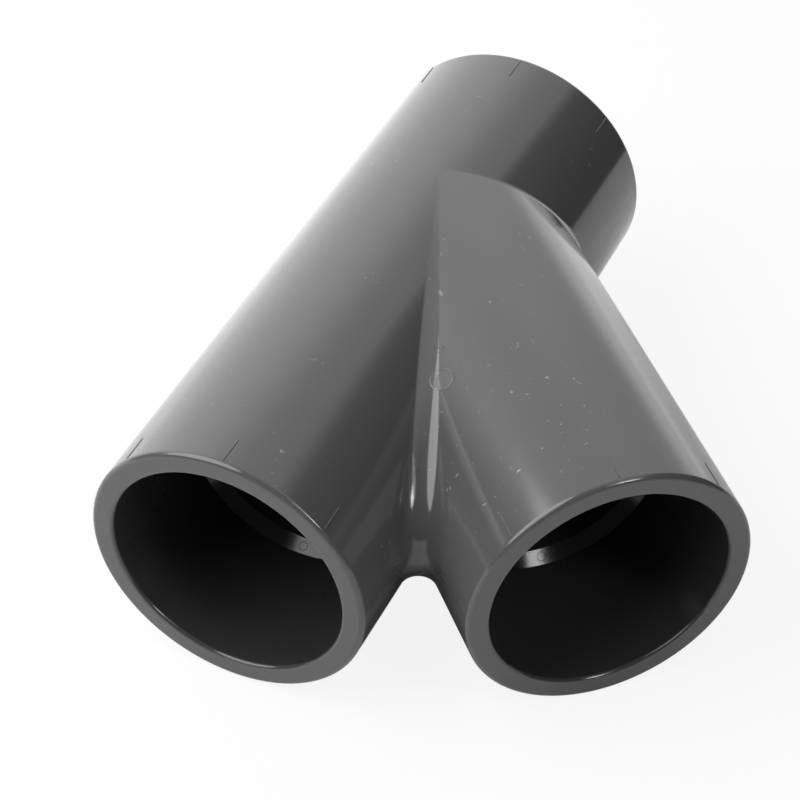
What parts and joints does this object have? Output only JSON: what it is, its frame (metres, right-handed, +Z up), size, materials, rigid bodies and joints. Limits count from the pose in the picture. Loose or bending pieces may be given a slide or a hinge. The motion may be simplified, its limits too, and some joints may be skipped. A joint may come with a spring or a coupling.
{
  "type": "pvc 45 degree tee fitting",
  "caption": "Lateral Y pipe fitting in dark grey rigid PVC: a straight run with a branch at 45 degrees, and a plain solvent-weld socket with a pipe stop on every leg",
  "frame": {"origin": "under the middle of the bounding box, on the surface that the fitting lies on", "axes": "+Y along the run from the long inlet leg to the short outlet leg, +Z up and square to the plane of the three axes, the branch towards +X and -Y"},
  "size_m": [0.152, 0.18, 0.076],
  "materials": {
    "body_pvc": "satin moulded dark grey rigid PVC",
    "socket_pvc": "satin moulded dark grey rigid PVC"
  },
  "bodies": {
    "root": {"wye_body": "body_pvc", "run_inlet_socket": "socket_pvc", "run_outlet_socket": "socket_pvc", "branch_socket": "socket_pvc"}
  },
  "joints": []
}
